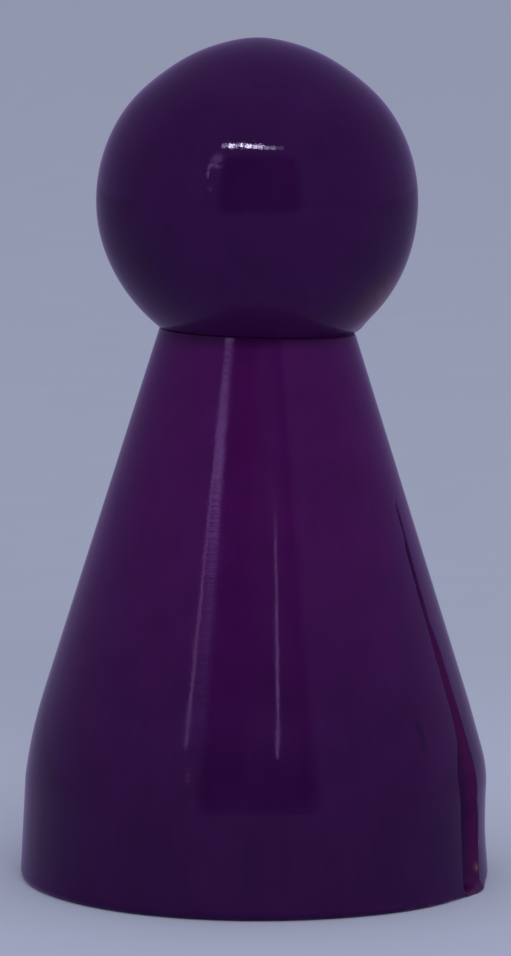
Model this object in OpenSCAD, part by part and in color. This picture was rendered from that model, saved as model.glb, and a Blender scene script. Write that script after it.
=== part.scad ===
// Turned wooden game token: a ball head glued on a cone body with a hidden dowel.
// Millimetres. The origin is the centre of the foot's underside and +Z is the turning axis.
// The side from which the token is seen faces -Y, so the split in the foot is on its right.

/* [Body] */
// Diameter of the foot at the board, measured before its rim is rounded
foot_d = 14; // [11:0.1:17]
// Height of the nearly upright foot
foot_h = 3; // [1:0.1:6]
// Inward lean of the foot's side, in degrees
foot_lean = 2.9; // [0:0.1:6]
// Radius that rounds the lower rim of the foot
rim_r = 0.2; // [0.05:0.05:0.8]
// Radius of the soft shoulder between the foot and the cone
shoulder_r = 14; // [4:0.5:25]
// Inward lean of the shoulder where it leaves the foot, in degrees
shoulder_lean = 6.8; // [0:0.2:9]
// Height of the cone's flat top, where the head is glued on
neck_h = 16.4; // [12:0.05:24]
// Diameter of the cone's top
neck_d = 5.76; // [4:0.02:8]
// Width of the small bevel round the cone's top
neck_bevel = 0.06; // [0.02:0.02:0.4]

/* [Head] */
// Diameter of the ball
head_d = 9.5; // [8.4:0.1:14]
// Radius of the low dome that the lathe leaves on the crown
nub_r = 2; // [0.5:0.1:3.5]
// Height of the dome above the ball
nub_h = 0.06; // [0.02:0.01:0.3]

/* [Dowel] */
// Diameter of the glued dowel
dowel_d = 2.4; // [1.4:0.1:3]
// Length of the dowel, half of it in each piece
dowel_l = 8; // [4:0.5:10]
// Bevel on both ends of the dowel
dowel_bevel = 0.3; // [0.1:0.05:0.6]
// Glue film all round the dowel
glue_gap = 0.05; // [0.02:0.01:0.15]
// Room for spare glue past each end of the dowel
end_gap = 0.4; // [0.1:0.1:1]

/* [Split] */
// Direction of the split about the axis, in degrees from +X
split_angle = -21.75; // [-180:0.25:180]
// Width of the open split at the foot
split_mouth = 1.75; // [0.4:0.05:3]
// Depth of the open split at the foot
split_depth = 0.96; // [0.2:0.02:1.5]
// Width of the closed crack above the open part
crack_w = 0.1; // [0.04:0.02:0.3]
// Height at which the crack ends on the cone
crack_top = 11.5; // [7:0.5:14]

/* [Hidden] */
$fn = 96;

body_lacquer = "#370A44";
head_lacquer = "#2A093C";
beech = "#D3AC7C";
// How far a cutting shape reaches past the surface that it cuts
cut_past = 1;
// Straight steps in the drawn shoulder and in the rim
shoulder_steps = 24;
rim_steps = 6;

foot_r = foot_d / 2;
foot_top_r = foot_r - foot_h * tan(foot_lean);
neck_r = neck_d / 2;
head_r = head_d / 2;
// The ball has a flat as wide as the cone's top, so its centre lies this high
head_z = neck_h + sqrt(head_r ^ 2 - neck_r ^ 2);

// The shoulder arc starts at the foot's top edge
shoulder_c = [foot_top_r, foot_h] - shoulder_r * [cos(shoulder_lean), sin(shoulder_lean)];
// The cone's side is the line from the neck that touches the shoulder arc
neck_from_c = [neck_r, neck_h] - shoulder_c;
cone_tilt = atan2(neck_from_c[1], neck_from_c[0]) - acos(shoulder_r / norm(neck_from_c));

// Centre of the rim's arc, which touches the underside and the foot's side
rim_c = [foot_r - rim_r * (1 + sin(foot_lean)) / cos(foot_lean), rim_r];

// Points on an arc about centre c, from angle a to angle b
function arc(c, r, a, b, steps) =
    [for (i = [0:steps]) let (t = a + (b - a) * i / steps) c + r * [cos(t), sin(t)]];

// Radius of the cone's side at height z
function cone_r(z) = neck_r + (neck_h - z) * tan(cone_tilt);

// Half of the body's outline, turned about the axis
module body_outline() {
    polygon(concat(
        [[0, 0]],
        arc(rim_c, rim_r, -90, foot_lean, rim_steps),
        arc(shoulder_c, shoulder_r, shoulder_lean, cone_tilt, shoulder_steps),
        [[cone_r(neck_h - neck_bevel), neck_h - neck_bevel]],
        [[neck_r - neck_bevel, neck_h], [0, neck_h]]
    ));
}

// Hole for the dowel, through the joint into both glued pieces
module dowel_socket() {
    translate([0, 0, neck_h])
        cylinder(d = dowel_d + 2 * glue_gap, h = dowel_l + 2 * end_gap, center = true);
}

// Splinter scar along the grain: it stands upright, so it runs out where the cone draws in
module open_split() {
    root_r = foot_r - split_depth;
    mouth_per_depth = split_mouth / 2 / split_depth;
    reach = split_depth + cut_past;
    translate([0, 0, -cut_past])
        linear_extrude(height = neck_h + cut_past)
            polygon([
                [root_r, 0],
                [root_r + reach, -reach * mouth_per_depth],
                [root_r + reach, reach * mouth_per_depth]
            ]);
}

// Closed crack that goes on up the grain from the scar and gets shallower to its end
module closed_crack() {
    outside_r = foot_r + cut_past;
    rotate([90, 0, 0])
        linear_extrude(height = crack_w, center = true)
            polygon([
                [foot_r - split_depth, -cut_past],
                [outside_r, -cut_past],
                [outside_r, crack_top],
                [cone_r(crack_top), crack_top]
            ]);
}

module cone_body() {
    color(body_lacquer)
        difference() {
            rotate_extrude() body_outline();
            dowel_socket();
            rotate([0, 0, split_angle]) {
                open_split();
                closed_crack();
            }
        }
}

module ball_head() {
    color(head_lacquer)
        difference() {
            union() {
                translate([0, 0, head_z]) sphere(r = head_r);
                translate([0, 0, head_z + head_r + nub_h - nub_r]) sphere(r = nub_r);
            }
            translate([0, 0, neck_h - head_r])
                cylinder(r = head_r + cut_past, h = 2 * head_r, center = true);
            dowel_socket();
        }
}

module neck_dowel() {
    color(beech)
        translate([0, 0, neck_h])
            for (end = [0, 1])
                mirror([0, 0, end]) {
                    cylinder(d = dowel_d, h = dowel_l / 2 - dowel_bevel);
                    translate([0, 0, dowel_l / 2 - dowel_bevel])
                        cylinder(d1 = dowel_d, d2 = dowel_d - 2 * dowel_bevel, h = dowel_bevel);
                }
}

cone_body();
ball_head();
neck_dowel();
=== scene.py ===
"""Looks of a turned wooden game token in gloss purple lacquer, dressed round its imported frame.

The classes hold their sizes in millimetres and their directions in degrees. Meshes are in metres, in the
frame's own axes: the origin is the centre of the foot's underside, +Z is the turning axis, and the side
from which the token is seen faces -Y. An azimuth is measured from +X towards +Y.
"""

import logging
import math
from dataclasses import dataclass, field
from enum import Enum

import bpy
import numpy as np
from mathutils import Matrix, Vector, noise


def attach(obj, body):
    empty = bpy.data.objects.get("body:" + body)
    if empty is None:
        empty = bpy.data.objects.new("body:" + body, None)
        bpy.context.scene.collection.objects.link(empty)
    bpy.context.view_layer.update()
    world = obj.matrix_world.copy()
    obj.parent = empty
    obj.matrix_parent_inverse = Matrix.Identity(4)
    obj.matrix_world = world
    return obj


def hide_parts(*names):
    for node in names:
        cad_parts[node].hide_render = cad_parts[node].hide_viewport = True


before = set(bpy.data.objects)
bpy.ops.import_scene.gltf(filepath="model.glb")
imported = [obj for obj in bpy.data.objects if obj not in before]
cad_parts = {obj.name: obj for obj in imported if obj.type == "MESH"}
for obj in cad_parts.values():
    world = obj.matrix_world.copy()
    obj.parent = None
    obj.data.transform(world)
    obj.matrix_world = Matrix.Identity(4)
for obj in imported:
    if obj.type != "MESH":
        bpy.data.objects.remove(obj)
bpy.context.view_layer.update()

MM = 0.001
# Pixels on the picture's long side, and the width of the camera's sensor in millimetres
PHOTO_LONG_SIDE = 956
SENSOR_WIDTH = 36.0
FULL_TURN = 360.0
# Points closer than the first are merged, and places closer than the second are one place, in millimetres
MERGE = 0.001
HAIR = 0.01
# Faces that meet at more than this angle have a sharp line between them
SHARP_ANGLE = 30.0
# Nearly all values of smooth noise in a material lie between these
NOISE_SPAN = {"From Min": 0.3, "From Max": 0.7}
UV_MIDDLE = 0.5
BODY = "root"
# Masks that the pieces store and the lacquer reads
BARE = "bare_wood"
SCAR = "split_scar"
# Painted shade in the split's depths, along its crack and in the dent
SPLIT_SHADE = "split_painted_shade"

Pair = tuple[float, float]
Triple = tuple[float, float, float]

log = logging.getLogger("game_token")


def linear(code: str) -> tuple[float, float, float, float]:
    """Turns an sRGB hex colour into the linear colour that a shader takes.

    Args:
        code: Colour as six hex digits after a hash sign.

    Returns:
        Linear red, green and blue, and an alpha of 1.
    """
    shares = [int(code[i:i + 2], 16) / 255 for i in (1, 3, 5)]
    return *(s / 12.92 if s <= 0.04045 else ((s + 0.055) / 1.055) ** 2.4 for s in shares), 1.0


def add_node(tree: bpy.types.NodeTree, kind: str, inputs: dict | None = None, **settings) -> bpy.types.Node:
    """Adds one node with its settings and links.

    A Mix node's input 0 is the share, 2 and 3 are its values, and 6 and 7 are its colours.

    Args:
        tree: Node tree of a material or of the world.
        kind: Node type without its ShaderNode prefix.
        inputs: Value or output socket for each named or numbered input.
        settings: Properties of the node itself.

    Returns:
        The new node.
    """
    node = tree.nodes.new("ShaderNode" + kind)
    for name, value in settings.items():
        setattr(node, name, value)
    for key, value in (inputs or {}).items():
        if isinstance(value, bpy.types.NodeSocket):
            tree.links.new(value, node.inputs[key])
        else:
            node.inputs[key].default_value = value
    return node


def new_material(name: str) -> tuple[bpy.types.Material, bpy.types.NodeTree]:
    """Makes a material with an empty node tree.

    Args:
        name: Name of the material.

    Returns:
        The material and its node tree.
    """
    material = bpy.data.materials.new(name)
    material.use_nodes = True
    material.node_tree.nodes.clear()
    return material, material.node_tree


def ease(value: np.ndarray, start: float, end: float) -> np.ndarray:
    """Rises smoothly from 0 at start to 1 at end.

    Args:
        value: Where on the way each point is.
        start: Value at and before which the result is 0.
        end: Value at and after which the result is 1.

    Returns:
        Share of the rise for each point.
    """
    t = np.clip((value - start) / (end - start), 0, 1)
    return t * t * (3 - 2 * t)


def mound(value: np.ndarray, middle: float, spread: float) -> np.ndarray:
    """Gives a soft mound that is 1 in its middle and fades out over its spread."""
    return np.exp(-(((value - middle) / spread) ** 2))


def ripple(points: np.ndarray, pitch: Triple) -> np.ndarray:
    """Gives smooth noise from about -1 to 1, the same on each run.

    Args:
        points: Points in millimetres, one row each.
        pitch: Size of one wave along each axis, in millimetres.

    Returns:
        Noise at each point.
    """
    return np.array([noise.noise(Vector(row)) for row in points / np.array(pitch)])


def read_points(piece: bpy.types.Object) -> np.ndarray:
    """Reads a piece's points.

    Args:
        piece: Mesh object at the origin.

    Returns:
        Points in millimetres, one row each.
    """
    flat = np.empty(len(piece.data.vertices) * 3)
    piece.data.vertices.foreach_get("co", flat)
    return flat.reshape(-1, 3) / MM


def write_points(piece: bpy.types.Object, points: np.ndarray) -> None:
    """Moves a piece's points to new places.

    Args:
        piece: Mesh object at the origin.
        points: New points in millimetres, one row each.
    """
    piece.data.vertices.foreach_set("co", (points * MM).astype(np.float32).ravel())
    piece.data.update()


def write_mask(piece: bpy.types.Object, name: str, values: np.ndarray) -> None:
    """Stores how much of a finish each point of a piece shows.

    Args:
        piece: Mesh object.
        name: Name that the material reads.
        values: Share from 0 to 1 for each point.
    """
    mask = piece.data.attributes.new(name, "FLOAT", "POINT")
    mask.data.foreach_set("value", np.clip(values, 0, 1).astype(np.float32))


@dataclass(frozen=True)
class Sector:
    """One stretch of a full turn: its angle in degrees and its number of equal steps."""

    angle: float
    steps: int


def turn(name: str, outline: list[Pair], start: float, sectors: list[Sector]) -> bpy.types.Object:
    """Turns an outline round the token's axis, as on a lathe.

    Args:
        name: Name of the new piece.
        outline: Radius and height of each point in millimetres, from the axis back to the axis.
        start: Azimuth at which the turn starts.
        sectors: Stretches of the full turn, in order.

    Returns:
        The closed piece at the origin, with its faces outwards.
    """
    bpy.ops.object.select_all(action="DESELECT")
    bpy.ops.mesh.primitive_plane_add(size=MM)
    piece = bpy.context.object
    piece.name = piece.data.name = name
    bpy.ops.object.mode_set(mode="EDIT")
    bpy.ops.mesh.merge(type="CENTER")
    across = Vector((math.cos(math.radians(start)), math.sin(math.radians(start)), 0))
    line = [(across * radius + Vector((0, 0, height))) * MM for radius, height in outline]
    bpy.ops.transform.translate(value=line[0])
    for here, there in zip(line, line[1:]):
        bpy.ops.mesh.extrude_region_move(TRANSFORM_OT_translate={"value": there - here})
    bpy.ops.mesh.select_all(action="SELECT")
    for sector in sectors:
        bpy.ops.mesh.spin(steps=sector.steps, angle=-math.radians(sector.angle), center=(0, 0, 0),
                          axis=(0, 0, 1), use_auto_merge=False)
    bpy.ops.mesh.select_all(action="SELECT")
    bpy.ops.mesh.remove_doubles(threshold=MERGE * MM)
    bpy.ops.mesh.normals_make_consistent(inside=False)
    bpy.ops.object.mode_set(mode="OBJECT")
    return piece


def shade(piece: bpy.types.Object) -> None:
    """Shades a piece smooth, with lines only at its sharp edges.

    Args:
        piece: Finished mesh object.
    """
    bpy.ops.object.select_all(action="DESELECT")
    piece.select_set(True)
    bpy.context.view_layer.objects.active = piece
    bpy.ops.object.shade_smooth_by_angle(angle=math.radians(SHARP_ANGLE))


@dataclass(frozen=True)
class GlossLacquer:
    """Coloured lacquer tumbled over turned beech.

    The film is thin, so it follows the lathe's rings and the grain a little, and its colour shifts from low
    to high.
    Rubbed places show the beech, and the split shows a thinner, duller film with painted shade in its
    depths.
    """

    name: str
    tint: str
    deep: str
    # Heights between which the colour goes from deep to tint, and between which painted shade darkens the
    # cone under the neck
    deep_below: float
    tint_above: float
    neck_shade_from: float = 0.0
    neck_shade_to: float = 0.0
    neck_shade_level: float = 1.0
    # Colour of the painted shade in the split's depths, its crack and the dent
    scar_tint: str = "#350236"
    hollow_shade_tint: str = "#20022F"
    wood: str = "#B98A5E"
    wood_dark: str = "#8A5A3A"
    ior: float = 1.5
    gloss_level: float = 0.165
    roughness: float = 0.085
    roughness_shift: float = 0.2
    scar_roughness: float = 0.3
    wood_roughness: float = 0.6
    # Sizes of the film's clouds and of the grain, and how much each shifts the colour
    film_patch: float = 1.6
    film_shift: float = 0.1
    grain_width: float = 0.3
    grain_length: float = 6.0
    grain_shift: float = 0.05
    # Pitches and heights of the relief
    ring_pitch: float = 0.12
    peel_pitch: float = 0.15
    wave_pitch: float = 0.9
    ring_height: float = 0.0006
    peel_height: float = 0.0009
    wave_height: float = 0.004
    fibre_height: float = 0.02

    def material(self) -> bpy.types.Material:
        """Builds the node tree.

        Returns:
            The lacquer's material.
        """
        material, tree = new_material(self.name)
        place = add_node(tree, "TexCoord").outputs["Object"]
        height = add_node(tree, "SeparateXYZ", {0: place}).outputs["Z"]
        bare = add_node(tree, "Attribute", attribute_name=BARE).outputs["Fac"]
        scar = add_node(tree, "Attribute", attribute_name=SCAR).outputs["Fac"]
        hollow_shade = add_node(tree, "Attribute", attribute_name=SPLIT_SHADE).outputs["Fac"]

        film = add_node(tree, "TexNoise", {"Vector": place, "Scale": 1 / (self.film_patch * MM),
                                           "Detail": 3.0})
        across, along = 1 / (self.grain_width * MM), 1 / (self.grain_length * MM)
        grain_place = add_node(tree, "Mapping", {"Vector": place, "Scale": (across, across, along)})
        grain = add_node(tree, "TexNoise", {"Vector": grain_place.outputs[0], "Scale": 1.0, "Detail": 4.0})

        # The colour goes from deep low down to tint higher up, and clouds and grain shift it a little
        rise = add_node(tree, "MapRange", {
            "Value": height, "From Min": self.deep_below * MM,
            "From Max": self.tint_above * MM}, interpolation_type="SMOOTHSTEP")
        colour = add_node(tree, "Mix", {0: rise.outputs[0], 6: linear(self.deep), 7: linear(self.tint)},
                          data_type="RGBA")
        cloud = add_node(tree, "MapRange", {"Value": film.outputs[0], **NOISE_SPAN,
                                            "To Min": 1 - self.film_shift, "To Max": 1 + self.film_shift})
        streak = add_node(tree, "MapRange", {"Value": grain.outputs[0], **NOISE_SPAN,
                                             "To Min": 1 - self.grain_shift,
                                             "To Max": 1 + self.grain_shift})
        level = add_node(tree, "Math", {0: cloud.outputs[0], 1: streak.outputs[0]}, operation="MULTIPLY")
        if self.neck_shade_to > self.neck_shade_from:
            # Painted shade under the neck, darkest at the joint
            neck_shade = add_node(tree, "MapRange", {
                "Value": height, "From Min": self.neck_shade_from * MM, "From Max": self.neck_shade_to * MM,
                "To Min": 1.0, "To Max": self.neck_shade_level}, interpolation_type="SMOOTHSTEP")
            level = add_node(tree, "Math", {0: level.outputs[0], 1: neck_shade.outputs[0]}, operation="MULTIPLY")
        varied = add_node(tree, "VectorMath", {0: colour.outputs[2], "Scale": level.outputs[0]},
                          operation="SCALE")
        # Painted shade darkens the scar's colour in the split's depths, its crack and the dent
        shaded_scar = add_node(tree, "Mix", {0: hollow_shade, 6: linear(self.scar_tint), 7: linear(self.hollow_shade_tint)},
                        data_type="RGBA")
        scarred = add_node(tree, "Mix", {0: scar, 6: varied.outputs[0], 7: shaded_scar.outputs[2]},
                           data_type="RGBA")
        beech = add_node(tree, "Mix", {0: grain.outputs[0], 6: linear(self.wood_dark),
                                       7: linear(self.wood)}, data_type="RGBA")
        worn = add_node(tree, "Mix", {0: bare, 6: scarred.outputs[2], 7: beech.outputs[2]},
                        data_type="RGBA")

        gloss = add_node(tree, "MapRange", {"Value": film.outputs[0], **NOISE_SPAN,
                                            "To Min": self.roughness * (1 - self.roughness_shift),
                                            "To Max": self.roughness * (1 + self.roughness_shift)})
        dull = add_node(tree, "Mix", {0: scar, 2: gloss.outputs[0], 3: self.scar_roughness},
                        data_type="FLOAT")
        matte = add_node(tree, "Mix", {0: bare, 2: dull.outputs[0], 3: self.wood_roughness},
                         data_type="FLOAT")

        # Heights are in millimetres: lathe rings, orange peel and a long wave, and fibres in the split.
        # The rings are drawn a little coarser than real ones, so that they show
        turns = add_node(tree, "Math", {0: height, 1: 1 / (self.ring_pitch * MM)}, operation="MULTIPLY")
        rings = add_node(tree, "TexNoise", {"W": turns.outputs[0], "Scale": 1.0, "Detail": 2.0},
                         noise_dimensions="1D")
        peel = add_node(tree, "TexNoise", {"Vector": place, "Scale": 1 / (self.peel_pitch * MM),
                                           "Detail": 2.0})
        wave = add_node(tree, "TexNoise", {"Vector": place, "Scale": 1 / (self.wave_pitch * MM),
                                           "Detail": 1.0})
        fibres = add_node(tree, "Math", {0: grain.outputs[0], 1: scar}, operation="MULTIPLY")
        relief = add_node(tree, "Math", {0: rings.outputs[0], 1: self.ring_height, 2: 0.0},
                          operation="MULTIPLY_ADD").outputs[0]
        for layer, tall in ((peel, self.peel_height), (wave, self.wave_height),
                            (fibres, self.fibre_height)):
            relief = add_node(tree, "Math", {0: layer.outputs[0], 1: tall, 2: relief},
                              operation="MULTIPLY_ADD").outputs[0]
        bump = add_node(tree, "Bump", {"Height": relief, "Strength": 1.0, "Distance": MM})

        # Gloss over turned wood gives the eye a dark, wet shine with crisp but slightly wavy reflections
        shader = add_node(tree, "BsdfPrincipled", {
            "Base Color": worn.outputs[2], "Roughness": matte.outputs[0], "IOR": self.ior,
            "Specular IOR Level": self.gloss_level, "Normal": bump.outputs[0]})
        add_node(tree, "OutputMaterial", {"Surface": shader.outputs[0]})
        return material


@dataclass(frozen=True)
class BareBeech:
    """Sanded beech dowel rod: pale and matte, with a straight grain and the short dark flecks of beech."""

    name: str = "beech_dowel_sanded"
    early: str = "#D9B588"
    late: str = "#C39A68"
    fleck: str = "#9A6E44"
    ior: float = 1.5
    grain_width: float = 0.35
    grain_length: float = 9.0
    fleck_width: float = 0.08
    fleck_length: float = 0.9
    fleck_span: Pair = (0.62, 0.72)
    fleck_share: float = 0.7
    roughness: float = 0.62
    roughness_shift: float = 0.08
    fibre_height: float = 0.01

    def material(self) -> bpy.types.Material:
        """Builds the node tree.

        Returns:
            The bare wood's material.
        """
        material, tree = new_material(self.name)
        place = add_node(tree, "TexCoord").outputs["Object"]
        layers = []
        for width, length in ((self.grain_width, self.grain_length), (self.fleck_width, self.fleck_length)):
            scale = (1 / (width * MM), 1 / (width * MM), 1 / (length * MM))
            stretched = add_node(tree, "Mapping", {"Vector": place, "Scale": scale})
            layers.append(add_node(tree, "TexNoise", {"Vector": stretched.outputs[0], "Scale": 1.0,
                                                      "Detail": 3.0}).outputs[0])
        grain, fibre = layers
        wood = add_node(tree, "Mix", {0: grain, 6: linear(self.late), 7: linear(self.early)},
                        data_type="RGBA")
        spots = add_node(tree, "MapRange", {"Value": fibre, "From Min": self.fleck_span[0],
                                            "From Max": self.fleck_span[1], "To Max": self.fleck_share})
        flecked = add_node(tree, "Mix", {0: spots.outputs[0], 6: wood.outputs[2], 7: linear(self.fleck)},
                           data_type="RGBA")
        rough = add_node(tree, "MapRange", {"Value": grain, "To Min": self.roughness - self.roughness_shift,
                                            "To Max": self.roughness + self.roughness_shift})
        bump = add_node(tree, "Bump", {"Height": fibre, "Strength": 1.0,
                                       "Distance": self.fibre_height * MM})
        # Sanded wood gives the eye a dry, pale face with fine straight grain and hardly any shine
        shader = add_node(tree, "BsdfPrincipled", {
            "Base Color": flecked.outputs[2], "Roughness": rough.outputs[0], "IOR": self.ior,
            "Normal": bump.outputs[0]})
        add_node(tree, "OutputMaterial", {"Surface": shader.outputs[0]})
        return material


@dataclass(frozen=True)
class Curtain:
    """Dim violet cloth hung round the token, greyer behind it, which only the gloss shows."""

    name: str = "curtain_cloth_dim"
    front: str = "#957CC8"
    back: str = "#8577AB"
    floor_back: str = "#887DAA"
    tent_r: float = 1400.0
    tent_blend: Pair = (280.0, 1400.0)
    floor_blend: Pair = (-3.0, 1.0)

    def tone(self, tree: bpy.types.NodeTree, back: str, blend: Pair) -> bpy.types.NodeSocket:
        """Adds the nodes that blend the two tones from the front to the back.

        Args:
            tree: Node tree of a thing whose origin is under the token.
            back: Tone behind the token, as an sRGB hex code.
            blend: Distances behind the axis between which the tones blend, in millimetres.

        Returns:
            The tone at each place.
        """
        place = add_node(tree, "TexCoord").outputs["Object"]
        away = add_node(tree, "SeparateXYZ", {0: place}).outputs["Y"]
        share = add_node(tree, "MapRange", {"Value": away, "From Min": blend[0] * MM,
                                            "From Max": blend[1] * MM})
        return add_node(tree, "Mix", {0: share.outputs[0], 6: linear(self.front), 7: linear(back)},
                        data_type="RGBA").outputs[2]

    def material(self) -> bpy.types.Material:
        """Builds the node tree.

        Returns:
            The cloth's material.
        """
        material, tree = new_material(self.name)
        # Dim cloth gives the eye an even glow with no folds, which the gloss shows as a soft veil
        glow = add_node(tree, "Emission", {"Color": self.tone(tree, self.back, self.tent_blend)})
        add_node(tree, "OutputMaterial", {"Surface": glow.outputs[0]})
        return material


@dataclass(frozen=True)
class MattePaper:
    """Uncoated drawing paper in a cool pale grey: no shine and faint clouds, with painted light in front of
    the token and painted shadow behind it.

    In the token's gloss it has the tones of the dim curtain, so that the gloss shows no horizon.
    """

    name: str = "paper_uncoated_pale"
    colour: str = "#A0A6BF"
    curtain: Curtain = Curtain()
    cloud: float = 6.0
    cloud_shift: float = 0.025
    # Painted light on the paper in front of the token, and painted shadow from further behind it, in
    # millimetres
    painted_light_until: float = 5.0
    painted_light_level: float = 1.08
    painted_shadow_from: float = 50.0
    painted_shadow_level: float = 0.94

    def material(self) -> bpy.types.Material:
        """Builds the node tree.

        Returns:
            The floor's material.
        """
        material, tree = new_material(self.name)
        place = add_node(tree, "TexCoord").outputs["Object"]
        pulp = add_node(tree, "TexNoise", {"Vector": place, "Scale": 1 / (self.cloud * MM), "Detail": 4.0})
        mottle = add_node(tree, "MapRange", {"Value": pulp.outputs[0], "To Min": 1 - self.cloud_shift,
                                             "To Max": 1 + self.cloud_shift})
        away = add_node(tree, "SeparateXYZ", {0: place}).outputs["Y"]
        # Painted light in front of the token fades into painted shadow behind it
        painted_light_and_shadow = add_node(tree, "MapRange", {
            "Value": away, "From Min": self.painted_light_until * MM, "From Max": self.painted_shadow_from * MM,
            "To Min": self.painted_light_level, "To Max": self.painted_shadow_level}, interpolation_type="SMOOTHSTEP")
        level = add_node(tree, "Math", {0: mottle.outputs[0], 1: painted_light_and_shadow.outputs[0]}, operation="MULTIPLY")
        gloss = add_node(tree, "LightPath").outputs["Is Glossy Ray"]
        cloth = self.curtain.tone(tree, self.curtain.floor_back, self.curtain.floor_blend)
        seen = add_node(tree, "Mix", {0: gloss, 6: linear(self.colour), 7: cloth}, data_type="RGBA")
        tone = add_node(tree, "VectorMath", {0: seen.outputs[2], "Scale": level.outputs[0]},
                        operation="SCALE")
        # Uncoated paper gives the eye a flat, pale face with no shine and soft, faint clouds
        shader = add_node(tree, "BsdfDiffuse", {"Color": tone.outputs[0]})
        add_node(tree, "OutputMaterial", {"Surface": shader.outputs[0]})
        return material


@dataclass(frozen=True)
class CardFinish:
    """Studio card that shows only in the gloss: a black flag, or a strip that glows.

    It fades out towards its edges over a share of its half width and half length, as a card close to the
    token would look in a slightly dull gloss. Knots are brighter and darker stretches along its width.
    """

    name: str
    colour: str
    glow: float
    soft: Pair = (0.0, 0.0)
    knots: float = 0.0
    knot_span: Pair = (0.4, 0.62)
    knot_levels: Pair = (0.1, 3.4)

    def material(self) -> bpy.types.Material:
        """Builds the node tree.

        Returns:
            The card's material.
        """
        material, tree = new_material(self.name)
        place = add_node(tree, "SeparateXYZ", {0: add_node(tree, "TexCoord").outputs["UV"]})
        strength = self.glow
        if self.knots:
            # Panes and bars break the strip up into brighter and darker stretches
            bars = add_node(tree, "TexNoise", {"W": place.outputs["X"], "Scale": self.knots, "Detail": 1.0},
                            noise_dimensions="1D")
            dark, bright = (level * self.glow for level in self.knot_levels)
            strength = add_node(tree, "MapRange", {
                "Value": bars.outputs[0], "From Min": self.knot_span[0], "From Max": self.knot_span[1],
                "To Min": dark, "To Max": bright}).outputs[0]
        # A card gives the eye nothing but its own light or black, which fades out at its edges
        surface = add_node(tree, "Emission", {"Color": linear(self.colour), "Strength": strength})
        for way, soft in zip("XY", self.soft):
            if soft:
                aside = add_node(tree, "Math", {0: place.outputs[way], 1: UV_MIDDLE}, operation="SUBTRACT")
                off = add_node(tree, "Math", {0: aside.outputs[0]}, operation="ABSOLUTE")
                fade = add_node(tree, "MapRange", {
                    "Value": off.outputs[0], "From Min": UV_MIDDLE,
                    "From Max": UV_MIDDLE * (1 - soft)}, interpolation_type="SMOOTHSTEP")
                clear = add_node(tree, "BsdfTransparent")
                surface = add_node(tree, "MixShader", {0: fade.outputs[0], 1: clear.outputs[0],
                                                       2: surface.outputs[0]})
        add_node(tree, "OutputMaterial", {"Surface": surface.outputs[0]})
        return material


@dataclass(frozen=True)
class NeckSeat:
    """The glued face between cone and ball, which sits a little lower on the right.

    Both faces have a ring of points at a share of the radius. Past the outer share, a point near the seat
    belongs to the outside of its piece, and not to the socket.
    """

    height: float = 16.4
    diameter: float = 5.76
    tilt: float = 1.78
    inner_ring: float = 0.7
    outer_share: float = 0.6

    @property
    def radius(self) -> float:
        """Radius of the seat."""
        return self.diameter / 2

    def lift(self, points: np.ndarray) -> np.ndarray:
        """Gives how far the slanted seat lies above the level one at each point's place across."""
        return -points[:, 0] * math.tan(math.radians(self.tilt))


@dataclass(frozen=True)
class Rise:
    """A soft rise along one line: how much it is in its middle, where that lies, and its spread."""

    amount: float
    middle: float
    spread: float

    def at(self, place: np.ndarray) -> np.ndarray:
        """Gives the rise at each place along the line."""
        return self.amount * mound(place, self.middle, self.spread)


@dataclass(frozen=True)
class Mark:
    """A soft spot of bare wood: its share of wood, and its place and spread round and up the side."""

    amount: float
    azimuth: float
    spread_round: float
    height: float
    spread_up: float

    def at(self, azimuth: np.ndarray, height: np.ndarray) -> np.ndarray:
        """Gives the share of wood that shows at each point."""
        across = mound(azimuth, self.azimuth, self.spread_round)
        return self.amount * mound(height, self.height, self.spread_up) * across


@dataclass(frozen=True)
class Step:
    """One step in the line of a lip: its turn in degrees and the heights between which it is made."""

    turn: float
    start: float
    end: float


@dataclass(frozen=True)
class Lip:
    """One lip of the split: its azimuth at the top of the crack and its steps on the way down."""

    azimuth: float
    steps: tuple[Step, ...]

    def line(self, height: np.ndarray) -> np.ndarray:
        """Gives the lip's azimuth at each height."""
        return self.azimuth + sum(step.turn * ease(height, step.start, step.end) for step in self.steps)


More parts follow.
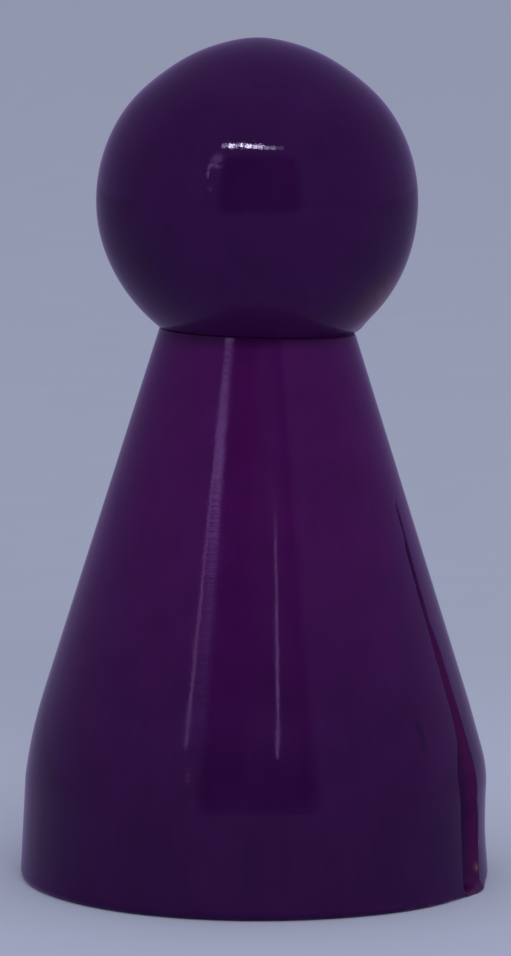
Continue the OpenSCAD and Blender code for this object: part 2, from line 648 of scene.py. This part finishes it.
@dataclass(frozen=True)
class Split:
    """Splinter scar at the foot that narrows to a crack up the grain.

    The near lip stands upright along the grain and steps outwards above the foot. The far lip opens towards
    the board. The deepest line lies close to the near lip, so the far wall is the broad one that shows.
    """

    near: Lip = Lip(-23.6, (Step(-1.8, 10.6, 10.0), Step(-3.3, 4.9, 3.5)))
    far: Lip = Lip(-21.8, (Step(-0.8, 11.0, 9.5), Step(1.9, 8.0, 7.0), Step(2.0, 7.0, 3.0),
                           Step(1.9, 2.8, 2.0), Step(-1.2, 1.4, 0.4)))
    # Azimuth of the split's middle, the crack's end and how far it fades
    middle: float = -22.0
    top: float = 11.6
    fade: float = 0.8
    # Form of the walls: where across they are deepest, how deep, and how shallow at the toe
    deepest: float = 0.3
    crack_depth: float = 0.08
    depth_share: float = 0.62
    most_depth: float = 0.94
    lip_round: float = 0.012
    toe_share: float = 0.1
    toe_top: float = 0.45
    # Wobble of the lips, and fibres on the walls
    wobble: float = 0.3
    near_wave: float = 0.6
    far_wave: float = 0.45
    far_shift: float = 7.0
    fibre: float = 0.02
    fibre_pitch: Triple = (0.07, 0.07, 1.6)
    fibre_from: Pair = (0.0, 0.3)
    # Where the thin film starts and is full, by depth, and where painted shade darkens the hollow, by share
    # of depth, and the crack, by height
    film_edge: Pair = (0.003, 0.03)
    hollow_shade_shares: Pair = (0.1, 0.45)
    crack_shade_from: Pair = (7.0, 9.5)
    # Angle to either side of the middle that has the finest mesh
    reach: float = 14.0

    def wall(self, points: np.ndarray, azimuth: np.ndarray, side_r: np.ndarray) -> np.ndarray:
        """Gives the radius of the scar's walls, which lies outside the side where there is no scar.

        Args:
            points: Points near the split, in millimetres.
            azimuth: Azimuth of each point.
            side_r: Radius of the whole, unsplit side at each point's height.

        Returns:
            Radius of the wall at each point.
        """
        height = points[:, 2]
        upright = np.column_stack([np.zeros_like(height), np.zeros_like(height), height])
        near = self.near.line(height) + self.wobble * ripple(upright, (1, 1, self.near_wave))
        far = self.far.line(height) + self.wobble * ripple(upright + self.far_shift, (1, 1, self.far_wave))
        mouth = np.radians(far - near) * side_r
        depth = np.minimum(self.depth_share * mouth + self.crack_depth, self.most_depth)
        depth *= ease(height, self.top, self.top - self.fade)
        depth *= self.toe_share + (1 - self.toe_share) * ease(height, 0, self.toe_top)
        across = (azimuth - near) / (far - near)
        inwards = np.minimum(across / self.deepest, (1 - across) / (1 - self.deepest))
        fibres = self.fibre * ripple(points, self.fibre_pitch) * ease(inwards, *self.fibre_from)
        return side_r - depth * inwards + fibres


@dataclass
class ConeBody:
    """Turned cone on a short upright foot, split along the grain on the right of its foot."""

    lacquer: GlossLacquer
    seat: NeckSeat
    split: Split = field(default_factory=Split)
    # Turned form
    foot_d: float = 14.0
    foot_h: float = 3.0
    foot_lean: float = 2.9
    rim_r: float = 0.2
    shoulder_r: float = 14.0
    shoulder_lean: float = 6.8
    neck_bevel: float = 0.06
    socket_d: float = 2.5
    socket_depth: float = 4.4
    # Rings along the outline and steps round it, which are finest at the split
    underside_rings: tuple[float, ...] = (0, 0.3, 0.6, 0.84)
    rim_steps: int = 9
    shoulder_steps: int = 29
    neck_rings: int = 14
    flare_rings: int = 16
    ring: float = 0.09
    bevel_guard: float = 0.03
    split_end: float = 12.2
    split_steps: int = 140
    beside_split: Sector = Sector(12.0, 30)
    rest_steps: int = 160
    # How far down the slant reaches, and which points belong to the outside
    slant_reach: float = 3.0
    side_share: float = 0.9
    skin: float = 0.35
    # Swelling beside the split: the lip's angles from its middle, and rises by height and by azimuth
    lip_from: Pair = (-3.0, 1.5)
    lip_to: Pair = (26.0, 50.0)
    lip_rises: tuple[Rise, ...] = (Rise(0.09, 3.4, 0.9), Rise(-0.03, 1.3, 0.7))
    corner_rises: tuple[Rise, ...] = (Rise(0.22, -21, 8), Rise(0.13, -42, 20))
    corner_fade: Pair = (0.02, 0.3)
    # Film pooled under the seat
    seat_flare: float = 0.004
    seat_flare_span: float = 0.4
    # Dent, with the azimuth and height of both ends
    dent: tuple[Pair, Pair] = ((-42.6, 5.6), (-40.9, 4.36))
    dent_depth: float = 0.012
    dent_width: float = 0.18
    # Share of the scar's dull film and of painted shade that the dent gets
    dent_film_and_shade: float = 1.5
    # Rough lower rim
    rim_rough: float = 0.02
    rim_fade: Pair = (0.05, 0.3)
    pit_pitch: Triple = (0.35, 0.35, 0.3)
    grit_pitch: Triple = (0.12, 0.12, 0.12)
    grit_share: float = 0.5
    # Bare wood on the lips of the split and along the rim
    scar_chip: Mark = Mark(0.3, -17.9, 0.6, 0.66, 0.1)
    lip_chip: Mark = Mark(0.25, -16.0, 0.5, 1.34, 0.1)
    rub: Rise = Rise(0.16, -42, 16)
    rub_least: float = 0.06
    rub_fade: Pair = (0.03, 0.12)
    rub_share: float = 0.9
    fleck_pitch: Triple = (0.16, 0.16, 0.4)
    fleck_span: Pair = (0.05, 0.35)

    @property
    def foot_top_r(self) -> float:
        """Radius of the foot's top edge."""
        return self.foot_d / 2 - self.foot_h * math.tan(math.radians(self.foot_lean))

    @property
    def shoulder_centre(self) -> Pair:
        """Centre of the shoulder's arc.

        Returns:
            Its radius and height.
        """
        lean = math.radians(self.shoulder_lean)
        return (self.foot_top_r - self.shoulder_r * math.cos(lean),
                self.foot_h - self.shoulder_r * math.sin(lean))

    @property
    def cone_tilt(self) -> float:
        """Inward lean of the cone's side, along the line from the neck that touches the shoulder.

        Returns:
            Lean in degrees.
        """
        centre_r, centre_z = self.shoulder_centre
        across, up = self.seat.radius - centre_r, self.seat.height - centre_z
        return math.degrees(math.atan2(up, across) - math.acos(self.shoulder_r / math.hypot(across, up)))

    def cone_r(self, height: float | np.ndarray) -> float | np.ndarray:
        """Gives the radius of the cone's straight side at a height."""
        return self.seat.radius + (self.seat.height - height) * math.tan(math.radians(self.cone_tilt))

    def side_r(self, height: np.ndarray) -> np.ndarray:
        """Gives the radius of the whole side, without the rim's rounding.

        Args:
            height: Heights of points on the side.

        Returns:
            Radius of the foot, the shoulder or the cone at each height.
        """
        centre_r, centre_z = self.shoulder_centre
        foot = self.foot_d / 2 - height * math.tan(math.radians(self.foot_lean))
        shoulder = centre_r + np.sqrt(np.maximum(self.shoulder_r ** 2 - (height - centre_z) ** 2, 0))
        shoulder_top = centre_z + self.shoulder_r * math.sin(math.radians(self.cone_tilt))
        upper = np.where(height < shoulder_top, shoulder, self.cone_r(height))
        return np.where(height < self.foot_h, foot, upper)

    def fillet(self, height: float) -> float:
        """Gives how far the pooled film widens the cone at a height close under the seat."""
        return self.seat_flare * max(0.0, 1 - (self.seat.height - height) / self.seat_flare_span) ** 2

    def outline(self) -> list[Pair]:
        """Draws half of the body's outline.

        Returns:
            Radius and height of each point, from the underside's centre to the socket's end.
        """
        lean = math.radians(self.foot_lean)
        rim_centre = self.foot_d / 2 - self.rim_r * (1 + math.sin(lean)) / math.cos(lean)
        points = [(share * self.foot_d / 2, 0.0) for share in self.underside_rings]
        for angle in np.linspace(-90, self.foot_lean, self.rim_steps):
            turned = math.radians(angle)
            points.append((rim_centre + self.rim_r * math.cos(turned), self.rim_r * (1 + math.sin(turned))))
        foot_from = points[-1]
        for share in np.linspace(0, 1, round(self.foot_h / self.ring))[1:-1]:
            points.append((foot_from[0] + share * (self.foot_top_r - foot_from[0]),
                           foot_from[1] + share * (self.foot_h - foot_from[1])))
        centre_r, centre_z = self.shoulder_centre
        for angle in np.linspace(self.shoulder_lean, self.cone_tilt, self.shoulder_steps):
            turned = math.radians(angle)
            points.append((centre_r + self.shoulder_r * math.cos(turned),
                           centre_z + self.shoulder_r * math.sin(turned)))
        top, socket = self.seat.height, self.socket_d / 2
        bevel_from, flare_from = top - self.neck_bevel, top - self.seat_flare_span
        heights = [*np.arange(points[-1][1] + self.ring, self.split_end, self.ring),
                   *np.linspace(self.split_end, flare_from, self.neck_rings),
                   *np.linspace(flare_from, bevel_from - self.bevel_guard, self.flare_rings)[1:],
                   bevel_from]
        points += [(self.cone_r(height) + self.fillet(height), height) for height in heights]
        points += [(self.seat.radius + self.seat_flare - self.neck_bevel, top),
                   (self.seat.inner_ring * self.seat.radius, top), (socket, top),
                   (socket, top - self.socket_depth), (0.0, top - self.socket_depth)]
        return points

    def build(self) -> bpy.types.Object:
        """Turns the body, tilts its seat and opens the split.

        Returns:
            The finished piece, on its body.
        """
        fine, beside = 2 * self.split.reach, self.beside_split
        sectors = [beside, Sector(fine, self.split_steps), beside,
                   Sector(FULL_TURN - fine - 2 * beside.angle, self.rest_steps)]
        start = self.split.middle - self.split.reach - beside.angle
        piece = turn("cone_turned", self.outline(), start, sectors)
        self.slant_seat(piece)
        self.open_split(piece)
        shade(piece)
        self.dress(piece)
        return piece

    def slant_seat(self, piece: bpy.types.Object) -> None:
        """Slides the cone's top along its own side, so that the glued face slants.

        Args:
            piece: Turned body.
        """
        points = read_points(piece)
        radius = np.hypot(points[:, 0], points[:, 1])
        outside = radius > self.seat.outer_share * self.seat.radius
        share = ease(points[:, 2], self.seat.height - self.slant_reach, self.seat.height - self.neck_bevel)
        share[~outside & (points[:, 2] < self.seat.height - HAIR)] = 0
        lift = self.seat.lift(points) * share
        side = outside & (radius > self.side_share * self.seat.radius)
        pull = np.where(side, -lift * math.tan(math.radians(self.cone_tilt)), 0)
        points[:, :2] *= (1 + pull / np.maximum(radius, HAIR))[:, None]
        points[:, 2] += lift
        write_points(piece, points)

    def open_split(self, piece: bpy.types.Object) -> None:
        """Opens the scar and the crack, and marks where wood and scar show and where painted shade darkens
        the split's depths.

        Args:
            piece: Turned body.
        """
        split = self.split
        points = read_points(piece)
        radius = np.hypot(points[:, 0], points[:, 1])
        azimuth = np.degrees(np.arctan2(points[:, 1], points[:, 0]))
        angle = azimuth - split.middle
        height = points[:, 2]
        side_r = self.side_r(height)
        outside = radius > side_r - self.skin
        swell = outside * self.swollen(azimuth, height)
        dent = outside * self.dented(azimuth, height, side_r)
        cut = radius + swell - self.dent_depth * dent - outside * self.pitted(points)

        near = np.flatnonzero(outside & (np.abs(angle) < split.reach) & (height < split.top))
        wall = split.wall(points[near], azimuth[near], side_r[near] + swell[near])
        gap = np.clip(split.lip_round - np.abs(cut[near] - wall), 0, None)
        scar_r = np.minimum(cut[near], wall) - gap ** 2 / (4 * split.lip_round)
        scar, hollow_shade = np.zeros_like(radius), np.zeros_like(radius)
        scar[near] = ease(side_r[near] + swell[near] - wall, *split.film_edge)
        # Painted shade in the split's depths and all along the crack
        deep = ease(cut[near] - scar_r, *(share * split.most_depth for share in split.hollow_shade_shares))
        hollow_shade[near] = np.maximum(deep, scar[near] * ease(height[near], *split.crack_shade_from))
        cut[near] = scar_r

        bare = scar * self.scar_chip.at(azimuth, height) + self.lip_chip.at(azimuth, height)
        bare += self.rubbed(points) * (radius > self.rub_share * self.foot_d / 2)
        points[:, :2] *= (cut / np.maximum(radius, HAIR))[:, None]
        write_points(piece, points)
        write_mask(piece, BARE, bare)
        # The dent's film is as thin and dull as the scar's, and painted shade darkens it as in the split's
        # depths
        for name, mask in ((SCAR, scar), (SPLIT_SHADE, hollow_shade)):
            write_mask(piece, name, np.minimum(mask + self.dent_film_and_shade * dent, 1))

    def swollen(self, azimuth: np.ndarray, height: np.ndarray) -> np.ndarray:
        """Gives how far the side stands out of the round beside the split.

        The far lip swells a little above the foot, and the split spreads the foot's corner.

        Args:
            azimuth: Azimuth of each point.
            height: Height of each point.

        Returns:
            Rise of the side at each point, in millimetres.
        """
        angle = azimuth - self.split.middle
        lip = ease(angle, *self.lip_from) * (1 - ease(angle, *self.lip_to))
        swell = lip * sum(rise.at(height) for rise in self.lip_rises)
        corner = sum(rise.at(azimuth) for rise in self.corner_rises)
        return swell + corner * (1 - ease(height, *self.corner_fade))

    def pitted(self, points: np.ndarray) -> np.ndarray:
        """Gives how deep the rough lower rim of the foot is pitted at each point."""
        rough = ripple(points, self.pit_pitch) + self.grit_share * ripple(points, self.grit_pitch)
        return self.rim_rough * (1 - ease(points[:, 2], *self.rim_fade)) * (0.5 + 0.5 * rough)

    def rubbed(self, points: np.ndarray) -> np.ndarray:
        """Marks the flecks of bare wood along the lower rim of the foot.

        Args:
            points: Points of the turned body, in millimetres.

        Returns:
            Share of wood that shows at each point.
        """
        azimuth = np.degrees(np.arctan2(points[:, 1], points[:, 0]))
        flecks = ease(ripple(points, self.fleck_pitch), *self.fleck_span)
        return (self.rub.at(azimuth) + self.rub_least) * flecks * (1 - ease(points[:, 2], *self.rub_fade))

    def dented(self, azimuth: np.ndarray, height: np.ndarray, side_r: np.ndarray) -> np.ndarray:
        """Gives the share of the small slanting dent's depth at each point.

        Args:
            azimuth: Azimuth of each point.
            height: Height of each point.
            side_r: Radius of the whole side at each height.

        Returns:
            Share from 0 to 1, highest along the dent's line.
        """
        (top_az, top_z), (low_az, low_z) = self.dent
        across, up = np.radians(azimuth - top_az) * side_r, height - top_z
        run = np.radians(low_az - top_az) * self.side_r(np.array(top_z)), low_z - top_z
        length = np.hypot(*run)
        along = (across * run[0] + up * run[1]) / length
        aside = (across * run[1] - up * run[0]) / length
        return mound(aside, 0, self.dent_width) * mound(along, length / 2, length / 2)

    def dress(self, piece: bpy.types.Object) -> None:
        """Gives the body its lacquer and its place in the frame.

        Args:
            piece: Finished body.
        """
        piece.data.materials.append(self.lacquer.material())
        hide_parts("cone_body")
        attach(piece, BODY)


@dataclass(frozen=True)
class Bulge:
    """A place where the ball is off the round: its direction, rise in millimetres and spread in degrees."""

    azimuth: float
    elevation: float
    rise: float
    spread: float

    @property
    def direction(self) -> np.ndarray:
        """Unit vector from the ball's centre to the bulge."""
        az, el = math.radians(self.azimuth), math.radians(self.elevation)
        return np.array([math.cos(el) * math.cos(az), math.cos(el) * math.sin(az), math.sin(el)])


@dataclass
class BallHead:
    """Turned ball with the lathe's low nub on its crown, glued on the cone."""

    lacquer: GlossLacquer
    seat: NeckSeat
    # Turned form, with the crown flattened at an angle from the axis
    head_d: float = 9.5
    nub_spread: float = 0.9
    crown_flat: float = 0.06
    crown_turn: float = 36.0
    crown_spread: float = 14.0
    nub_h: float = 0.058
    socket_d: float = 2.5
    socket_depth: float = 4.4
    # Steps round the axis and along the outline
    steps: int = 240
    outline_steps: int = 130
    # Share of the radius above which all points are outside, and how far up the slant reaches
    crown_share: float = 0.8
    slant_reach: float = 2.5
    # Out of the round: a bulge, and the lean of the lower part
    bulge: Bulge = Bulge(0, -53, 0.18, 5)
    skew: float = 0.075
    skew_span: float = 3.5
    # Bare wood on the lower right, with its height above the seat
    rub: Mark = Mark(0.34, -8, 20, 1.0, 0.6)
    rub_least: float = 0.6
    rub_pitch: Triple = (0.3, 0.3, 0.25)
    rub_span: Pair = (-0.3, 0.4)

    @property
    def radius(self) -> float:
        """Radius of the ball."""
        return self.head_d / 2

    @property
    def centre(self) -> float:
        """Height of the ball's centre, whose flat is as wide as the seat."""
        return self.seat.height + math.sqrt(self.radius ** 2 - self.seat.radius ** 2)

    def outline(self) -> list[Pair]:
        """Draws half of the ball's outline.

        Returns:
            Radius and height of each point, from the socket's end to the crown.
        """
        seat, socket = self.seat.height, self.socket_d / 2
        points = [(0.0, seat + self.socket_depth), (socket, seat + self.socket_depth), (socket, seat),
                  (self.seat.inner_ring * self.seat.radius, seat)]
        low = -math.acos(self.seat.radius / self.radius)
        for angle in np.linspace(low, math.pi / 2, self.outline_steps)[:-1]:
            flat = self.crown_flat * mound(90 - math.degrees(angle), self.crown_turn, self.crown_spread)
            ball = self.radius - flat
            radius = ball * math.cos(angle)
            nub = self.nub_h * mound(radius, 0, self.nub_spread)
            points.append((radius, self.centre + ball * math.sin(angle) + nub))
        return points + [(0.0, self.centre + self.radius + self.nub_h)]

    def build(self) -> bpy.types.Object:
        """Turns the ball, tilts its seat and raises the bulge over the seat's right edge.

        Returns:
            The finished piece, on its body.
        """
        piece = turn("ball_turned", self.outline(), 0, [Sector(FULL_TURN, self.steps)])
        points = read_points(piece)
        radius = np.hypot(points[:, 0], points[:, 1])
        outside = radius > self.seat.outer_share * self.seat.radius
        outside |= points[:, 2] > self.centre + self.crown_share * self.radius
        on_ball = outside & (points[:, 2] < self.centre)

        slant = 1 - ease(points[:, 2], self.seat.height, self.seat.height + self.slant_reach)
        lift = self.seat.lift(points) * slant
        lift[~outside & (points[:, 2] > self.seat.height + HAIR)] = 0
        points[:, 2] += lift
        ball_r = np.sqrt(np.maximum(self.radius ** 2 - (points[:, 2] - self.centre) ** 2, 0))
        points[:, :2] *= np.where(on_ball, ball_r / np.maximum(radius, HAIR), 1)[:, None]

        # The ball's lower part leans a little to the right of the cone
        low = 1 - ease(points[:, 2], self.seat.height, self.seat.height + self.skew_span)
        points[:, 0] += self.skew * low * on_ball
        rays = points - np.array([0, 0, self.centre])
        reach = np.linalg.norm(rays, axis=1)
        facing = rays @ self.bulge.direction / np.maximum(reach, HAIR)
        apart = np.degrees(np.arccos(np.clip(facing, -1, 1)))
        rise = self.bulge.rise / self.radius * mound(apart, 0, self.bulge.spread) * outside
        rays[:, :2] *= (1 + rise)[:, None]
        points = rays + np.array([0, 0, self.centre])
        write_points(piece, points)
        write_mask(piece, BARE, self.rubbed(points))
        for name in (SCAR, SPLIT_SHADE):
            write_mask(piece, name, np.zeros(len(points)))
        shade(piece)
        self.dress(piece)
        return piece

    def rubbed(self, points: np.ndarray) -> np.ndarray:
        """Marks the thin brownish rub on the ball's lower right.

        Args:
            points: Points of the ball, in millimetres.

        Returns:
            Share of wood that shows at each point.
        """
        azimuth = np.degrees(np.arctan2(points[:, 1], points[:, 0]))
        smear = self.rub.at(azimuth, points[:, 2] - self.seat.height)
        patchy = ease(ripple(points, self.rub_pitch), *self.rub_span)
        return smear * (self.rub_least + (1 - self.rub_least) * patchy)

    def dress(self, piece: bpy.types.Object) -> None:
        """Gives the ball its lacquer and its place in the frame.

        Args:
            piece: Finished ball.
        """
        piece.data.materials.append(self.lacquer.material())
        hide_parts("ball_head")
        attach(piece, BODY)


@dataclass
class NeckDowel:
    """Hidden dowel between cone and ball: the frame's own solid, in bare wood."""

    wood: BareBeech

    def build(self) -> bpy.types.Object:
        """Dresses the frame's dowel in bare beech.

        Returns:
            The dowel's object.
        """
        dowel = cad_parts["neck_dowel"]
        dowel.data.materials.clear()
        dowel.data.materials.append(self.wood.material())
        return dowel


class SeenBy(Enum):
    """Which rays see a studio card or lamp."""

    GLOSS = ("glossy",)
    LIT = ("diffuse", "transmission", "volume_scatter", "shadow")

    def apply(self, thing: bpy.types.Object) -> None:
        """Lets only these rays see a thing, so that it is in no picture itself."""
        for rays in ("camera", "diffuse", "glossy", "transmission", "volume_scatter", "shadow"):
            setattr(thing, "visible_" + rays, rays in self.value)


@dataclass(frozen=True)
class Card:
    """Flat card seen only in the token's gloss.

    Its corners are given as the token sees them: degrees right of the camera and above the floor. The first
    two are the corners of one end and the last two, in the same turn, those of the other. Each end has its
    own distance from the axis point at the aimed height, in millimetres.
    """

    name: str
    finish: CardFinish
    corners: tuple[Pair, ...]
    ends: Pair = (1000.0, 1000.0)
    aim: float = 14.0

    @staticmethod
    def toward(right: float, up: float) -> Vector:
        """Unit vector from the token towards a direction."""
        az, el = math.radians(right), math.radians(up)
        return Vector((math.cos(el) * math.sin(az), -math.cos(el) * math.cos(az), math.sin(el)))

    def build(self) -> None:
        """Hangs the card, as a part of the stage."""
        bpy.ops.object.select_all(action="DESELECT")
        bpy.ops.mesh.primitive_plane_add(size=MM)
        card = bpy.context.object
        card.name = card.data.name = self.name
        distances = (self.ends[0], self.ends[0], self.ends[1], self.ends[1])
        # The face's own turn keeps the card's UV square on its four corners
        for index, way, far in zip(card.data.polygons[0].vertices, self.corners, distances):
            card.data.vertices[index].co = (self.toward(*way) * far + Vector((0, 0, self.aim))) * MM
        card.data.materials.append(self.finish.material())
        SeenBy.GLOSS.apply(card)


@dataclass
class Studio:
    """Pale paper floor, plain soft light, the cards that the gloss shows, and the camera."""

    paper: MattePaper = field(default_factory=MattePaper)
    floor_size: float = 4000.0
    tent_segments: int = 48
    tent_rings: int = 24
    # Light, with the lamp's direction as the token sees it
    room_colour: str = "#FFFFFF"
    room_light: float = 0.85
    key_light: float = 0.4
    key_right: float = 10.0
    key_up: float = 22.0
    key_far: float = 500.0
    key_size: float = 240.0
    # Camera: its place, its tilt, and its focal length in pixels of the picture
    camera_right: float = -0.0133
    camera_back: float = 142.2
    camera_up: float = 28.58
    camera_pitch: float = 6.67
    camera_roll: float = 0.249
    focal_px: float = 4822.4

    def build(self) -> None:
        """Sets up the floor, the light, the curtain, the cards and the camera."""
        self.lay_floor()
        self.light_room()
        self.hang_curtain()
        self.hang_cards()
        self.place_camera()
        bpy.context.scene.view_settings.view_transform = "Standard"

    def lay_floor(self) -> None:
        """Lays the paper that the token stands on."""
        bpy.ops.object.select_all(action="DESELECT")
        bpy.ops.mesh.primitive_plane_add(size=self.floor_size * MM)
        floor = bpy.context.object
        floor.name = floor.data.name = "paper_floor"
        floor.data.materials.append(self.paper.material())

    def light_room(self) -> None:
        """Lights the room evenly, with one large soft lamp on the right of the camera."""
        world = bpy.data.worlds.new("pale_room")
        bpy.context.scene.world = world
        world.use_nodes = True
        tree = world.node_tree
        tree.nodes.clear()
        path = add_node(tree, "LightPath")
        seen = path.outputs["Is Camera Ray"]
        for rays in ("Is Glossy Ray", "Is Transmission Ray"):
            seen = add_node(tree, "Math", {0: seen, 1: path.outputs[rays]}, operation="MAXIMUM").outputs[0]
        light = add_node(tree, "Background", {"Color": linear(self.room_colour),
                                              "Strength": self.room_light})
        backdrop = add_node(tree, "Background", {"Color": linear(self.paper.colour), "Strength": 1.0})
        both = add_node(tree, "MixShader", {0: seen, 1: light.outputs[0], 2: backdrop.outputs[0]})
        add_node(tree, "OutputWorld", {"Surface": both.outputs[0]})

        way = Card.toward(self.key_right, self.key_up)
        bpy.ops.object.light_add(type="AREA", location=way * self.key_far * MM)
        lamp = bpy.context.object
        lamp.name = lamp.data.name = "soft_key"
        lamp.rotation_euler = way.to_track_quat("Z", "Y").to_euler()
        lamp.data.shape = "DISK"
        lamp.data.size = self.key_size * MM
        # Watts for the wanted light on a face turned to the lamp, where 1 shows a colour as written
        lamp.data.energy = self.key_light * (math.pi * self.key_far * MM) ** 2
        SeenBy.LIT.apply(lamp)

    def hang_curtain(self) -> None:
        """Hangs the dim curtain all round the token."""
        bpy.ops.object.select_all(action="DESELECT")
        bpy.ops.mesh.primitive_uv_sphere_add(segments=self.tent_segments, ring_count=self.tent_rings,
                                             radius=self.paper.curtain.tent_r * MM)
        tent = bpy.context.object
        tent.name = tent.data.name = "curtain_tent"
        tent.data.materials.append(self.paper.curtain.material())
        SeenBy.GLOSS.apply(tent)

    def hang_cards(self) -> None:
        """Hangs the dark flag in front of the token and the glowing strips beside and above it."""
        black = CardFinish("flag_black_felt", "#000000", 0.0, soft=(0.25, 0.32))
        bright = CardFinish("strip_window_top", "#E5DCFF", 30.0, soft=(0.0, 0.3), knots=13.0)
        weak = CardFinish("strip_window_top_end", "#E5DCFF", 14.0, soft=(0.0, 0.3))
        faint = CardFinish("strip_window_top_tail", "#E5DCFF", 4.0, soft=(0.0, 0.3))
        line = CardFinish("strip_door_left", "#E1ADFF", 7.5, soft=(0.8, 0.14))
        pane = CardFinish("strip_pane_left", "#CB9CFF", 8.5, soft=(0.7, 0.45))
        upper = CardFinish("strip_pane_left_upper", "#CB9CFF", 4.5, soft=(0.8, 0.8))
        haze = CardFinish("strip_haze_left", "#BE88FF", 2.7, soft=(0.8, 1.0))
        spot = CardFinish("spot_left", "#E1ADFF", 3.0, soft=(1.0, 1.0))
        wire = CardFinish("strip_wire_right", "#E1B0FF", 17.0, soft=(0.4, 0.1))
        for card in (
            Card("flag_front", black, ((-30, -5.8), (34, -5.8), (34, 35.6), (-30, 35.6)), (137.5, 168)),
            Card("strip_top_left", weak, ((-31, 41), (-25, 41.4), (-25, 44.6), (-31, 43.8)), (139, 144.5)),
            Card("strip_top", bright, ((-25, 41.4), (7, 41.4), (7, 44), (-25, 44.6)), (139, 144.5)),
            Card("strip_top_right", weak, ((7, 41.5), (16, 41.3), (16, 43.2), (7, 43.9)), (139, 144.5)),
            Card("strip_top_tail", faint, ((16, 41.3), (22, 41), (22, 42.6), (16, 43.2)), (139, 144.5)),
            Card("strip_left", line, ((-38, 17.3), (-36, 17.3), (-36.6, 26.8), (-38.6, 26.8)),
                 (1010, 1010)),
            Card("pane_left", pane, ((-40.5, 25.9), (-25.5, 25.9), (-28, 28.15), (-39.5, 28.15)),
                 (980, 980)),
            Card("pane_left_upper", upper, ((-40, 27.2), (-26, 27.2), (-25, 36.5), (-38, 36.5)),
                 (990, 990)),
            Card("haze_left", haze, ((-36.8, 23.4), (-25.5, 23.4), (-26, 27.4), (-36.8, 27.4))),
            Card("spot_left", spot, ((-36, 9), (-32, 9), (-32, 12.4), (-36, 12.4))),
            Card("wire_right", wire, ((10.7, 5.7), (11.4, 5.7), (14.5, 5.7), (13.9, 5.7)),
                 (80, 26), aim=20.2),
        ):
            card.build()

    def place_camera(self) -> None:
        """Puts the camera where the picture was taken from."""
        bpy.ops.object.camera_add(location=(self.camera_right * MM, -self.camera_back * MM,
                                            self.camera_up * MM))
        camera = bpy.context.object
        camera.name = camera.data.name = "photo_camera"
        turned = Matrix.Rotation(math.radians(90 - self.camera_pitch), 4, "X") @ Matrix.Rotation(
            math.radians(self.camera_roll), 4, "Z")
        camera.rotation_euler = turned.to_euler()
        camera.data.sensor_width = SENSOR_WIDTH
        camera.data.lens = self.focal_px / PHOTO_LONG_SIDE * SENSOR_WIDTH
        camera.data.clip_start = MM
        bpy.context.scene.camera = camera


def main() -> None:
    """Builds the token and its studio."""
    logging.basicConfig(level=logging.INFO, format="%(name)s: %(message)s")
    seat = NeckSeat()
    # The body's lacquer carries painted shade close under the neck
    body_lacquer = GlossLacquer("beech_turned_purple_lacquer_body", tint="#350940", deep="#240832",
                                deep_below=1.0, tint_above=13.5, neck_shade_from=15.95, neck_shade_to=16.4,
                                neck_shade_level=0.45)
    # The ball's lacquer is lighter and redder low down near the joint: painted light on its underside
    head_lacquer = GlossLacquer("beech_turned_purple_lacquer_head", tint="#260935", deep="#2E0C3A",
                                deep_below=16.4, tint_above=18.5, roughness=0.045, peel_pitch=0.12,
                                peel_height=0.0015, wave_height=0.001)
    for part in (ConeBody(body_lacquer, seat), BallHead(head_lacquer, seat), NeckDowel(BareBeech())):
        piece = part.build()
        log.info("%s: %d points, %d faces", piece.name, len(piece.data.vertices), len(piece.data.polygons))
    Studio().build()


if __name__ == "__main__":
    main()
